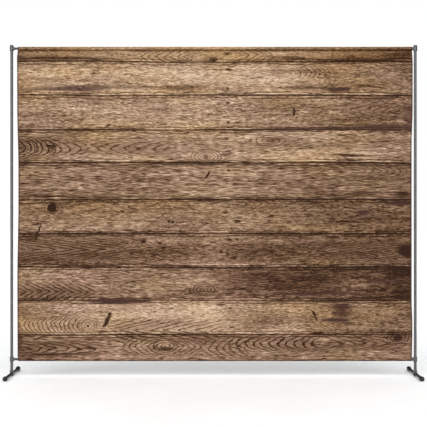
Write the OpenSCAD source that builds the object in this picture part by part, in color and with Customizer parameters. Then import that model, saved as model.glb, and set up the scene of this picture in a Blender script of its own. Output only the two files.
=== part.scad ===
// Collapsible backdrop panel: a printed cloth held between two telescopic bars,
// on two sectional uprights with turning foot bars.
// X runs along the panel, the printed front faces -Y, Z is up, and the floor is Z = 0.

/* [Frame] */
// Distance between the centre lines of the two uprights
span = 3116; // [3090:2:3200]
// Outer diameter of the upright tubes
upright_d = 22; // [22:0.2:23]
// Wall thickness of the upright tubes
upright_wall = 1.2; // [1:0.1:1.4]
// Height of the joint between the lower and middle upright sections
lower_joint_z = 860; // [600:10:1000]
// Height of the joint between the middle and upper upright sections
upper_joint_z = 1700; // [1500:10:1900]
// Half the length of the inner spigot that joins two upright sections
spigot_half = 60; // [50:5:90]

/* [Bars] */
// Height of the centre line of the top bar
top_bar_z = 2527; // [2200:1:2600]
// Height of the centre line of the bottom bar
bottom_bar_z = 129; // [110:1:220]
// Outer diameter of the sliding sleeve tubes inside the pole pockets
sleeve_d = 25; // [25:0.1:25.2]
// Wall thickness of the sleeve tubes
sleeve_wall = 1.2; // [1:0.1:1.3]
// Outer diameter of the fixed middle tube of each bar
centre_d = 20; // [19:0.5:20]
// Wall thickness of the middle tubes and arms
bar_wall = 1.2; // [1:0.1:1.5]
// Half the length of the middle tube
centre_half = 1000; // [900:10:1000]
// Distance from the panel's middle to the inner end of each sleeve tube
sleeve_start = 452; // [450:1:600]
// Distance from the upright's centre line to the outer end of each sleeve tube
sleeve_inset = 53; // [50:1:70]
// Outer diameter of the arm that joins a connector to a sleeve tube
arm_d = 18; // [16:0.5:18]
// Distance from the upright's centre line to the arm's inner end
arm_reach = 96; // [90:1:97]

/* [Connectors] */
// Outer diameter of the connector sleeves
connector_d = 29.5; // [28:0.5:32]
// Height of the capped top connector
top_connector_h = 47; // [44:1:60]
// Height of the open bottom connector
bottom_connector_h = 39; // [34:1:50]
// Radius of the rounded top of the top connector
cap_round = 10; // [4:1:12]
// Reach of the tapered boss that holds the arm, from the upright's centre line
boss_reach = 22; // [20:1:22]

/* [Thumbscrews] */
// Diameter of the clamping screws
screw_d = 6; // [5:1:8]
// Diameter of the knobs
knob_d = 24; // [20:1:28]
// Thickness of the knobs
knob_t = 13; // [10:1:16]
// Number of finger hollows round a knob
knob_lobes = 7; // [5:1:9]

/* [Snap buttons] */
// Diameter of the spring buttons that lock the upright sections
button_d = 6; // [5:0.5:7]
// Height of a button above its upright joint
button_rise = 30; // [25:1:40]
// How far a button stands out of its tube
button_proud = 2.9; // [2:0.1:3]

/* [Feet] */
// Length of a foot bar over its rubber ends
foot_len = 500; // [400:10:700]
// Outer diameter of the foot tube
foot_tube_d = 22; // [20:1:24]
// Largest diameter of the rubber ends
bulb_d = 37.2; // [37:0.2:40]
// Length of a rubber end
bulb_len = 68; // [60:1:90]
// Height of the foot tube's centre line
foot_axis_z = 18; // [18:0.1:18.4]
// Height of the top of the socket that holds the upright
socket_top_z = 42; // [40:1:60]
// Height of the top of the socket's inner post
post_top_z = 110; // [90:5:160]

/* [Cloth] */
// Width of the cloth
cloth_w = 3050; // [2900:2:3050]
// How far the cloth's middle lies to the right of the frame's middle
cloth_shift = 9.6; // [0:0.2:10]
// Thickness allowed for the cloth
cloth_t = 1.5; // [1:0.1:2]
// Gap between a sleeve tube and its pole pocket
pocket_gap = 0.4; // [0.3:0.1:1]
// Distance from a bar's centre line to the seam that closes its pocket
pocket_depth = 24; // [22:1:60]

/* [Hidden] */
$fn = 72;
SIDES = ["left", "right"];
MIDDLE_NODES = [
    "centre_tube_top", "centre_tube_bottom", "guide_rings",
    "backdrop_cloth", "top_pole_pocket", "bottom_pole_pocket"
];
SIDE_NODES = [
    "upright_lower", "upright_middle", "upright_upper", "spigot_lower", "spigot_upper",
    "snap_spring_lower", "snap_spring_upper", "snap_button_lower", "snap_button_upper",
    "top_connector", "bottom_connector", "top_arm", "bottom_arm",
    "top_sleeve", "bottom_sleeve", "arm_bushes", "slide_bushes",
    "top_screw", "top_knob", "bottom_screw", "bottom_knob",
    "foot_socket", "foot_tube", "foot_pad", "foot_bolt", "rubber_ends"
];
NODES = concat(MIDDLE_NODES, [for (side = SIDES) for (name = SIDE_NODES) str(name, "_", side)]);
node = "all";

STEEL = [0.36, 0.36, 0.37];
ZINC = [0.72, 0.72, 0.70];
BLACK = [0.05, 0.05, 0.055];
NYLON = [0.12, 0.12, 0.12];
WOOD_PRINT = [0.55, 0.43, 0.34];

eps = 0.01;
running = 0.05;
contact_gap = 0.3;
loose = 0.1;

upright_r = upright_d / 2;
upright_in = upright_r - upright_wall;
connector_r = connector_d / 2;
connector_bore = upright_r + loose;
top_of_frame = top_bar_z + 28;
top_connector_z = top_of_frame - top_connector_h;
bottom_connector_z = bottom_bar_z - bottom_connector_h / 2;
crown_t = 9;
upright_bottom = socket_top_z - 11.2;
upright_top = top_of_frame - crown_t - loose;

spigot_wall = 1.2;
spigot_r = upright_in - running;
spigot_in = spigot_r - spigot_wall;
spring_w = 5;
spring_t = 0.6;
spring_y = spigot_in - 1.05;
spring_bend_drop = 20;
spring_rear_rise = button_rise + 8;
spring_front_rise = 10;

sleeve_r = sleeve_d / 2;
sleeve_in = sleeve_r - sleeve_wall;
arm_r = arm_d / 2;
arm_start = 12.5;
bush_len = 30;
arm_bush_len = 33;
flange_t = 2;
press = 0.02;
ring_len = 15;
ring_inset = 2;

screw_r = screw_d / 2;
screw_boss_r = 7;
screw_boss_y = connector_r + 5.5;
knob_y = screw_boss_y + 1.5;
screw_end = knob_y + knob_t - 2;
lobe_r = 3.5;

foot_r = foot_tube_d / 2;
foot_wall = 1.5;
foot_tube_half = foot_len / 2 - 22;
socket_low_z = 16;
socket_floor_z = foot_axis_z + foot_r + 1.5;
post_tip = 3;
bolt_r = 4;
bolt_head_r = 7;
bolt_head_t = 3.5;
bolt_low_z = 1.5;
bolt_top_z = 60;
pad_len = 44;
pad_r = 16;
pad_half_w = 10;
pad_top_z = 14;
bulb_r = bulb_d / 2;
bulb_mouth_r = foot_r + 2.2;

pocket_in = sleeve_r + pocket_gap;
pocket_out = pocket_in + cloth_t;

function wants(name, side = "") = node == "all" || node == str(name, side == "" ? "" : "_", side);

// Places its children at one upright, with the panel on their -X side.
module at_upright(side) {
    mirror([side == "left" ? 1 : 0, 0, 0])
        translate([span / 2, 0, 0])
            children();
}

// A tube standing along Z.
module tube(r_out, r_in, length) {
    difference() {
        cylinder(r = r_out, h = length);
        translate([0, 0, -1])
            cylinder(r = r_in, h = length + 2);
    }
}

// Turns its children's +Z into -X, towards the panel.
module inward() {
    rotate([0, -90, 0]) children();
}

// Turns its children's +Z into +Y, towards the back.
module backward() {
    rotate([-90, 0, 0]) children();
}

// ---- Uprights ----

// One section of an upright, with a button hole when it slides over a spigot.
module upright_section(low, high, holed) {
    color(STEEL)
        difference() {
            translate([0, 0, low])
                tube(upright_r, upright_in, high - low);
            if (holed)
                translate([0, 0, low + button_rise])
                    backward()
                        cylinder(r = button_d / 2 + running, h = upright_r + 1);
        }
}

// The inner tube fixed in the lower section that carries the section above.
module spigot(joint_z) {
    color(ZINC)
        difference() {
            translate([0, 0, joint_z - spigot_half])
                tube(spigot_r, spigot_in, 2 * spigot_half);
            translate([0, 0, joint_z + button_rise])
                backward()
                    cylinder(r = button_d / 2 + running, h = upright_r + 1);
        }
}

// Outline of the hairpin spring, seen from the side: X is the depth and Y the height.
module spring_outline() {
    translate([spring_y, 0])
        square([spring_t, spring_rear_rise + spring_bend_drop]);
    translate([-spring_y - spring_t, 0])
        square([spring_t, spring_front_rise + spring_bend_drop]);
    intersection() {
        difference() {
            circle(r = spring_y + spring_t);
            circle(r = spring_y);
        }
        translate([-spring_y - 1, -spring_y - 1])
            square([2 * spring_y + 2, spring_y + 1 + eps]);
    }
}

// Hairpin leaf spring inside a spigot, whose rear leg carries the button.
module snap_spring(joint_z) {
    color(ZINC)
        translate([-spring_w / 2, 0, joint_z - spring_bend_drop])
            rotate([90, 0, 90])
                linear_extrude(height = spring_w)
                    spring_outline();
}

// Spring button that locks an upright joint, with a domed head.
module snap_button(joint_z) {
    foot_y = spring_y + spring_t + running;
    head_y = upright_r + button_proud;
    round_r = 1.8;
    color(ZINC)
        translate([0, 0, joint_z + button_rise])
            backward()
                translate([0, 0, foot_y])
                    rotate_extrude()
                        rounded_post(button_d / 2, head_y - foot_y, round_r);
}

// Half outline of a post with a rounded top edge.
module rounded_post(r, h, round_r) {
    square([r - round_r, h]);
    square([r, h - round_r]);
    intersection() {
        translate([r - round_r, h - round_r])
            circle(r = round_r);
        translate([r - round_r, h - round_r])
            square([round_r + 1, round_r + 1]);
    }
}

// ---- Connectors ----

// Tapered boss that holds the arm, and the boss of the clamping screw, at height z.
module connector_bosses(z) {
    translate([0, 0, z]) {
        inward()
            cylinder(r1 = connector_r - 1, r2 = arm_r + 2.2, h = boss_reach);
        backward()
            cylinder(r = screw_boss_r, h = screw_boss_y);
    }
}

// The holes of a connector: the arm's socket and the screw's threaded hole.
module connector_holes(z) {
    translate([0, 0, z]) {
        translate([-arm_start, 0, 0])
            inward()
                cylinder(r = arm_r + press, h = boss_reach);
        backward()
            cylinder(r = screw_r + running, h = screw_boss_y + 1);
    }
}

// Capped corner connector that sits on top of an upright.
module top_connector() {
    color(STEEL)
        difference() {
            union() {
                translate([0, 0, top_connector_z])
                    rotate_extrude()
                        rounded_post(connector_r, top_connector_h, cap_round);
                connector_bosses(top_bar_z);
            }
            translate([0, 0, top_connector_z - 1])
                cylinder(r = connector_bore, h = top_connector_h - crown_t + 1);
            connector_holes(top_bar_z);
        }
}

// Half outline of an open sleeve whose two outer edges are rounded.
module open_sleeve_outline(r, h, round_r) {
    translate([0, h / 2])
        rounded_post(r, h / 2, round_r);
    translate([0, h / 2])
        mirror([0, 1])
            rounded_post(r, h / 2, round_r);
}

// Open T connector that slides on an upright and carries the bottom bar.
module bottom_connector() {
    color(STEEL)
        difference() {
            union() {
                translate([0, 0, bottom_connector_z])
                    rotate_extrude()
                        open_sleeve_outline(connector_r, bottom_connector_h, 2.5);
                connector_bosses(bottom_bar_z);
            }
            translate([0, 0, bottom_connector_z - 1])
                cylinder(r = connector_bore, h = bottom_connector_h + 2);
            connector_holes(bottom_bar_z);
        }
}

// Clamping screw, whose tip stands just off the upright.
module clamp_screw(z) {
    tip_y = upright_r + contact_gap;
    color(ZINC)
        translate([0, 0, z])
            backward()
                translate([0, 0, tip_y])
                    cylinder(r = screw_r, h = screw_end - tip_y);
}

// Knob moulded on the clamping screw, with finger hollows round its edge.
module clamp_knob(z) {
    neck_t = 3;
    color(BLACK)
        translate([0, 0, z])
            backward()
                translate([0, 0, knob_y])
                    difference() {
                        union() {
                            cylinder(r = screw_boss_r, h = knob_t);
                            translate([0, 0, neck_t])
                                rotate_extrude()
                                    rounded_post(knob_d / 2, knob_t - neck_t, 2);
                        }
                        translate([0, 0, -1])
                            cylinder(r = screw_r, h = screw_end - knob_y + 1);
                        for (lobe = [0 : knob_lobes - 1])
                            rotate([0, 0, lobe * 360 / knob_lobes])
                                translate([knob_d / 2 + lobe_r / 2, 0, -1])
                                    cylinder(r = lobe_r, h = knob_t + 2);
                    }
}

// ---- Bars ----

// Thin arm from a connector into its sleeve tube.
module arm(z) {
    color(STEEL)
        translate([-arm_start, 0, z])
            inward()
                tube(arm_r, arm_r - bar_wall, arm_reach - arm_start);
}

// Outer tube of a bar, which slides over the middle tube.
module bar_sleeve(z) {
    color(STEEL)
        translate([-sleeve_inset, 0, z])
            inward()
                tube(sleeve_r, sleeve_in, span / 2 - sleeve_inset - sleeve_start);
}

// Flanged bush with its flange on the +Z side of Z = 0 and its body below.
module flanged_bush(bore_r, length) {
    difference() {
        union() {
            cylinder(r = sleeve_r, h = flange_t);
            translate([0, 0, -length])
                cylinder(r = sleeve_in - press, h = length + eps);
        }
        translate([0, 0, -length - 1])
            cylinder(r = bore_r, h = length + flange_t + 2);
    }
}

// Bushes that hold the arms in the outer ends of the sleeve tubes.
module arm_bushes() {
    color(NYLON)
        for (z = [top_bar_z, bottom_bar_z])
            translate([-sleeve_inset, 0, z])
                rotate([0, 90, 0])
                    flanged_bush(arm_r + press, arm_bush_len);
}

// Bushes in the inner ends of the sleeve tubes, which run on the middle tube.
module slide_bushes() {
    color(NYLON)
        for (z = [top_bar_z, bottom_bar_z])
            translate([sleeve_start - span / 2, 0, z])
                rotate([0, -90, 0])
                    flanged_bush(centre_d / 2 + running, bush_len);
}

// Fixed middle tube of a bar.
module centre_tube(z) {
    color(STEEL)
        translate([-centre_half, 0, z])
            rotate([0, 90, 0])
                tube(centre_d / 2, centre_d / 2 - bar_wall, 2 * centre_half);
}

// Rings on the ends of both middle tubes, which guide the sleeve tubes.
module guide_rings() {
    color(NYLON)
        for (z = [top_bar_z, bottom_bar_z])
            for (end = [0, 1])
                mirror([end, 0, 0])
                    translate([centre_half - ring_inset - ring_len, 0, z])
                        rotate([0, 90, 0])
                            tube(sleeve_in - running, centre_d / 2 + press, ring_len);
}

// ---- Cloth ----

// Half width of a pocket's tail where it meets the flat cloth.
tail_half = cloth_t / 2;
// Sine of the slope of a pocket's tail.
tail_sin = pocket_out / pocket_depth;
tail_angle = asin(tail_sin);
tail_end = pocket_depth - tail_half / tan(tail_angle);
// Where a tail starts, as a share of its pocket's radius, so that it crosses the round part.
tail_root = 0.99;

// Drop-shaped bar of radius r whose tail points down to the given depth.
module drop_bar(r, depth, cut_half, length) {
    angle = asin(r / depth);
    cut_depth = depth - cut_half / tan(angle);
    shoulder = tail_root * r;
    cylinder(h = length, r = r);
    linear_extrude(height = length)
        polygon([
            [shoulder * cos(angle), -shoulder * sin(angle)],
            [cut_half, -cut_depth],
            [-cut_half, -cut_depth],
            [-shoulder * cos(angle), -shoulder * sin(angle)]
        ]);
}

// Pole pocket, a drop-shaped sleeve of cloth round a bar; hang is 1 for a tail pointing
// down and -1 for a tail pointing up.
module pole_pocket(z, hang) {
    inner_depth = pocket_depth * pocket_in / pocket_out;
    color(WOOD_PRINT)
        translate([cloth_shift - cloth_w / 2, 0, z])
            rotate([90, 0, 90])
                mirror([0, hang < 0 ? 1 : 0, 0])
                    difference() {
                        drop_bar(pocket_out, pocket_depth, tail_half, cloth_w);
                        translate([0, 0, -1])
                            drop_bar(pocket_in, inner_depth, eps, cloth_w + 2);
                    }
}

// The flat of the printed cloth, between the two pocket seams.
module backdrop_cloth() {
    low = bottom_bar_z + tail_end;
    high = top_bar_z - tail_end;
    color(WOOD_PRINT)
        translate([cloth_shift - cloth_w / 2, -cloth_t / 2, low])
            cube([cloth_w, cloth_t, high - low]);
}

// ---- Feet ----

// Socket of the upright: a sleeve that straddles the foot tube, and a post inside it.
module foot_socket() {
    color(STEEL)
        difference() {
            union() {
                translate([0, 0, socket_low_z])
                    cylinder(r = connector_r, h = socket_floor_z - socket_low_z);
                translate([0, 0, socket_floor_z - eps])
                    tube(connector_r, connector_bore, socket_top_z - socket_floor_z);
                translate([0, 0, socket_floor_z - eps])
                    cylinder(r = upright_in - running, h = post_top_z - post_tip - socket_floor_z);
                translate([0, 0, post_top_z - post_tip - 2 * eps])
                    cylinder(r1 = upright_in - running, r2 = upright_in - 1.5, h = post_tip);
            }
            translate([0, -connector_d, foot_axis_z])
                backward()
                    cylinder(r = foot_r + press, h = 2 * connector_d);
            cylinder(r = bolt_r + running, h = bolt_top_z);
        }
}

// Tube of a foot bar, with the bolt's hole across its middle.
module foot_tube() {
    color(BLACK)
        difference() {
            translate([0, -foot_tube_half, foot_axis_z])
                backward()
                    tube(foot_r, foot_r - foot_wall, 2 * foot_tube_half);
            cylinder(r = bolt_r + running, h = socket_top_z);
        }
}

// Outline of the pad under the middle of a foot tube.
module pad_outline() {
    difference() {
        union() {
            intersection() {
                translate([0, foot_axis_z])
                    circle(r = pad_r);
                translate([-pad_r, 0])
                    square([2 * pad_r, pad_top_z]);
            }
            translate([-pad_half_w, 0])
                square([2 * pad_half_w, pad_top_z / 2]);
        }
        translate([0, foot_axis_z])
            circle(r = foot_r + press);
    }
}

// Pad that stands under the middle of a foot bar and takes the bolt's head.
module foot_pad() {
    color(BLACK)
        difference() {
            translate([0, pad_len / 2, 0])
                rotate([90, 0, 0])
                    linear_extrude(height = pad_len)
                        pad_outline();
            cylinder(r = bolt_r + loose, h = foot_axis_z);
            translate([0, 0, -1])
                cylinder(r = bolt_head_r + contact_gap, h = bolt_low_z + bolt_head_t + 1);
        }
}

// Bolt that holds the pad, the foot tube and the socket together.
module foot_bolt() {
    color(ZINC)
        translate([0, 0, bolt_low_z]) {
            cylinder(r = bolt_head_r, h = bolt_head_t);
            cylinder(r = bolt_r, h = bolt_top_z - bolt_low_z - 2);
        }
}

// Half outline of a rubber end, with its tip at Y = 0 and its mouth at bulb_len.
module bulb_outline() {
    mouth_round = 1;
    slope = asin((bulb_r - bulb_mouth_r) / (bulb_len - bulb_r));
    intersection() {
        translate([0, bulb_r])
            circle(r = bulb_r);
        square([bulb_r + 1, 2 * bulb_r]);
    }
    polygon([
        [0, bulb_r],
        [bulb_r * cos(slope), bulb_r + bulb_r * sin(slope)],
        [bulb_mouth_r, bulb_len - mouth_round],
        [bulb_mouth_r - mouth_round, bulb_len],
        [0, bulb_len]
    ]);
}

// One hollow rubber end, with a small flat where it stands on the floor.
module rubber_end() {
    difference() {
        translate([0, -foot_len / 2, foot_axis_z])
            backward()
                rotate_extrude()
                    bulb_outline();
        translate([0, -foot_tube_half, foot_axis_z])
            backward()
                cylinder(r = foot_r, h = foot_len);
        translate([-foot_len, -foot_len, -foot_len])
            cube([2 * foot_len, foot_len, foot_len]);
    }
}

// The front and rear rubber ends of a foot bar.
module rubber_ends() {
    color(BLACK)
        for (end = [0, 1])
            mirror([0, end, 0])
                rubber_end();
}

// ---- Everything ----

if (wants("centre_tube_top")) centre_tube(top_bar_z);
if (wants("centre_tube_bottom")) centre_tube(bottom_bar_z);
if (wants("guide_rings")) guide_rings();
if (wants("backdrop_cloth")) backdrop_cloth();
if (wants("top_pole_pocket")) pole_pocket(top_bar_z, 1);
if (wants("bottom_pole_pocket")) pole_pocket(bottom_bar_z, -1);

for (side = SIDES)
    at_upright(side) {
        if (wants("upright_lower", side)) upright_section(upright_bottom, lower_joint_z, false);
        if (wants("upright_middle", side)) upright_section(lower_joint_z, upper_joint_z, true);
        if (wants("upright_upper", side)) upright_section(upper_joint_z, upright_top, true);
        if (wants("spigot_lower", side)) spigot(lower_joint_z);
        if (wants("spigot_upper", side)) spigot(upper_joint_z);
        if (wants("snap_spring_lower", side)) snap_spring(lower_joint_z);
        if (wants("snap_spring_upper", side)) snap_spring(upper_joint_z);
        if (wants("snap_button_lower", side)) snap_button(lower_joint_z);
        if (wants("snap_button_upper", side)) snap_button(upper_joint_z);
        if (wants("top_connector", side)) top_connector();
        if (wants("bottom_connector", side)) bottom_connector();
        if (wants("top_arm", side)) arm(top_bar_z);
        if (wants("bottom_arm", side)) arm(bottom_bar_z);
        if (wants("top_sleeve", side)) bar_sleeve(top_bar_z);
        if (wants("bottom_sleeve", side)) bar_sleeve(bottom_bar_z);
        if (wants("arm_bushes", side)) arm_bushes();
        if (wants("slide_bushes", side)) slide_bushes();
        if (wants("top_screw", side)) clamp_screw(top_bar_z);
        if (wants("top_knob", side)) clamp_knob(top_bar_z);
        if (wants("bottom_screw", side)) clamp_screw(bottom_bar_z);
        if (wants("bottom_knob", side)) clamp_knob(bottom_bar_z);
        if (wants("foot_socket", side)) foot_socket();
        if (wants("foot_tube", side)) foot_tube();
        if (wants("foot_pad", side)) foot_pad();
        if (wants("foot_bolt", side)) foot_bolt();
        if (wants("rubber_ends", side)) rubber_ends();
    }
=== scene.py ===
import math

import bpy
import numpy as np
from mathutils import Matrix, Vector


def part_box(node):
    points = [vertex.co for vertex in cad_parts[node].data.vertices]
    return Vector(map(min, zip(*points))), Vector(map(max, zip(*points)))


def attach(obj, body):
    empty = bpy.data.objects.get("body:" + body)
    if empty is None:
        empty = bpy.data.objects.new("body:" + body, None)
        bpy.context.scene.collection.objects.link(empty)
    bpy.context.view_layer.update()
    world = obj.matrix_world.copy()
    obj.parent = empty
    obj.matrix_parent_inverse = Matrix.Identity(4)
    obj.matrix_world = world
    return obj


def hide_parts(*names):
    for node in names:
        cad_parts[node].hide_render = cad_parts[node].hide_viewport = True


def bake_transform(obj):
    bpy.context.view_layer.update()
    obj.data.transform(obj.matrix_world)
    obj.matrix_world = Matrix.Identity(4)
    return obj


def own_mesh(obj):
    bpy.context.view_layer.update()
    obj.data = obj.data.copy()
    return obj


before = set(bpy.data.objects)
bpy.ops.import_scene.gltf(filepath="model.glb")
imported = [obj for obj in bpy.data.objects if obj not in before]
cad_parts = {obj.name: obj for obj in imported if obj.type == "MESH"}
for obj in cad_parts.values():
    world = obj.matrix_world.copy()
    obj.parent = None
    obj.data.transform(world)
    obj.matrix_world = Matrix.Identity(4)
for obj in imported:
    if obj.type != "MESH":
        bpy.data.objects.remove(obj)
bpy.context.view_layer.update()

SCENE = bpy.context.scene


# ---- Camera ----

camera = bpy.data.objects.new("camera", bpy.data.cameras.new("camera"))
camera.data.sensor_width = 36
camera.data.lens = 77.3
camera.location = (0, -7.08, 1.254)
camera.rotation_euler = (math.radians(90), 0, 0)
SCENE.collection.objects.link(camera)
SCENE.camera = camera


# ---- Shader helpers ----

def linear(r, g, b, gain=1.0):
    """A display colour from 0 to 255 as the linear colour that shaders take."""
    out = []
    for v in (r, g, b):
        v /= 255
        out.append(gain * (v / 12.92 if v <= 0.04045 else ((v + 0.055) / 1.055) ** 2.4))
    return (*out, 1.0)


class Val:
    """A number in a shader; ordinary arithmetic on it adds Math nodes."""

    def __init__(self, graph, socket):
        self.graph = graph
        self.socket = socket

    def math(self, kind, *others, clamp=False):
        node = self.graph.tree.nodes.new("ShaderNodeMath")
        node.operation = kind
        node.use_clamp = clamp
        for socket, value in zip(node.inputs, (self, *others)):
            self.graph.put(value, socket)
        return Val(self.graph, node.outputs[0])

    def __add__(self, other):
        return self.math("ADD", other)

    def __sub__(self, other):
        return self.math("SUBTRACT", other)

    def __mul__(self, other):
        return self.math("MULTIPLY", other)

    def __pow__(self, other):
        return self.math("POWER", other)

    def times_plus(self, factor, term):
        return self.math("MULTIPLY_ADD", factor, term)

    def abs(self):
        return self.math("ABSOLUTE")

    def sin(self):
        return self.math("SINE")

    def max(self, other):
        return self.math("MAXIMUM", other)

    def min(self, other):
        return self.math("MINIMUM", other)

    def ramp(self, low, high, to_low=0.0, to_high=1.0):
        """A smooth step from to_low to to_high as this number goes from low to high."""
        node = self.graph.tree.nodes.new("ShaderNodeMapRange")
        node.interpolation_type = "SMOOTHSTEP"
        for socket, value in zip(node.inputs, (self, low, high, to_low, to_high)):
            self.graph.put(value, socket)
        return Val(self.graph, node.outputs[0])


class Graph:
    """Short ways to add nodes to one shader tree and to join them."""

    def __init__(self, tree):
        self.tree = tree

    def put(self, value, socket):
        if isinstance(value, Val):
            value = value.socket
        if isinstance(value, bpy.types.NodeSocket):
            self.tree.links.new(value, socket)
        else:
            socket.default_value = value

    def node(self, kind, values=None, **settings):
        node = self.tree.nodes.new(kind)
        for key, value in settings.items():
            setattr(node, key, value)
        for key, value in (values or {}).items():
            self.put(value, node.inputs[key])
        return node

    def uv(self, name):
        return self.node("ShaderNodeUVMap", uv_map=name).outputs[0]

    def object_point(self):
        return self.node("ShaderNodeTexCoord").outputs["Object"]

    def split(self, vector):
        node = self.node("ShaderNodeSeparateXYZ", {0: vector})
        return [Val(self, s) for s in node.outputs]

    def join(self, x, y, z=0.0):
        return self.node("ShaderNodeCombineXYZ", {0: x, 1: y, 2: z}).outputs[0]

    def scaled(self, vector, scale, shift=(0, 0, 0)):
        values = {0: vector, 1: scale, 2: shift}
        return self.node("ShaderNodeVectorMath", values, operation="MULTIPLY_ADD").outputs[0]

    def dot(self, a, b):
        node = self.node("ShaderNodeVectorMath", {0: a, 1: b}, operation="DOT_PRODUCT")
        return Val(self, node.outputs[1])

    def noise(self, vector, scale, detail=2.0, rough=0.5, shift=(0, 0, 0)):
        """Noise with about scale features to the metre, or with a scale for each axis."""
        if not isinstance(scale, (int, float)):
            vector, scale = self.scaled(vector, scale, shift), 1.0
        values = {"Vector": vector, "Scale": scale, "Detail": detail, "Roughness": rough}
        return Val(self, self.node("ShaderNodeTexNoise", values).outputs[0])

    def colours(self, fac, stops, kind="LINEAR"):
        node = self.node("ShaderNodeValToRGB", {0: fac})
        node.color_ramp.interpolation = kind
        ramp = node.color_ramp.elements
        while len(ramp) < len(stops):
            ramp.new(0.5)
        for element, (place, _) in zip(ramp, stops):
            element.position = place
        for element, (_, colour) in zip(ramp, stops):
            element.color = colour
        return node.outputs[0]

    def mix(self, fac, a, b, kind="MIX"):
        node = self.node("ShaderNodeMix", data_type="RGBA", blend_type=kind)
        for index, value in ((0, fac), (6, a), (7, b)):
            self.put(value, node.inputs[index])
        return node.outputs[2]

    def bump(self, height, strength, distance):
        values = {"Strength": strength, "Distance": distance, "Height": height}
        return self.node("ShaderNodeBump", values).outputs[0]


def new_material(name):
    """A node material with an empty tree, its graph and a function that finishes it."""
    material = bpy.data.materials.new(name)
    material.use_nodes = True
    material.node_tree.nodes.clear()
    graph = Graph(material.node_tree)

    def finish(**values):
        shader = graph.node("ShaderNodeBsdfPrincipled")
        for key, value in values.items():
            graph.put(value, shader.inputs[key.replace("_", " ")])
        output = graph.node("ShaderNodeOutputMaterial")
        graph.tree.links.new(shader.outputs[0], output.inputs[0])
        return material

    return graph, finish


# ---- Where the cloth hangs ----

# Thickness of the plain CAD cloth, and how far the seams lie past the ends of its pockets.
CAD_THICK = 0.0015
PAST_POCKET = 0.0005

LOW_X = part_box("backdrop_cloth")[0].x
HIGH_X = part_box("backdrop_cloth")[1].x
MIDDLE_X = (LOW_X + HIGH_X) / 2
TOP_BAR = sum(corner.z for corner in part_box("centre_tube_top")) / 2
BOTTOM_BAR = sum(corner.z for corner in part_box("centre_tube_bottom")) / 2
TOP_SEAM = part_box("top_pole_pocket")[0].z - PAST_POCKET
BOTTOM_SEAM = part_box("bottom_pole_pocket")[1].z + PAST_POCKET
POCKET_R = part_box("top_pole_pocket")[1].y - CAD_THICK / 2


# ---- The boards printed on the cloth ----
# The map named "print" is in metres: x from the frame's middle and height above the floor.

# Boards are looked up by their height, as a share of this one.
PRINT_TOP = 2.6

# Heights of the gaps between the boards, and how far above a gap its worn edge runs.
BOARD_GAPS = [0.32, 0.582, 0.837, 1.098, 1.362, 1.646, 1.9, 2.166, 2.425]
WORN_EDGE = 0.0135

# Tone of each board from the lowest up, at its left end, middle and right end.
BOARD_TONES = [
    (0.40, 0.54, 0.40), (0.60, 0.76, 0.37), (0.48, 0.48, 0.04), (0.33, 0.44, 0.18),
    (0.47, 0.49, 0.22), (0.35, 0.50, 0.34), (0.47, 0.61, 0.53), (0.53, 0.65, 0.38),
    (0.60, 0.71, 0.42), (0.48, 0.68, 0.36),
]
# How far from the middle the tones of the ends are reached.
TONE_REACH = 1.45

# Seed, warmth and strength of the grain of each board from the lowest up.
BOARD_GRAINS = [
    (0.13, 0.35, 0.72), (0.71, 0.52, 0.64), (0.37, 0.30, 0.66), (0.92, 0.35, 0.60),
    (0.22, 0.55, 0.64), (0.55, 0.45, 0.76), (0.83, 0.50, 0.70), (0.05, 0.45, 0.62),
    (0.64, 0.62, 0.57), (0.44, 0.85, 0.50),
]

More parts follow.
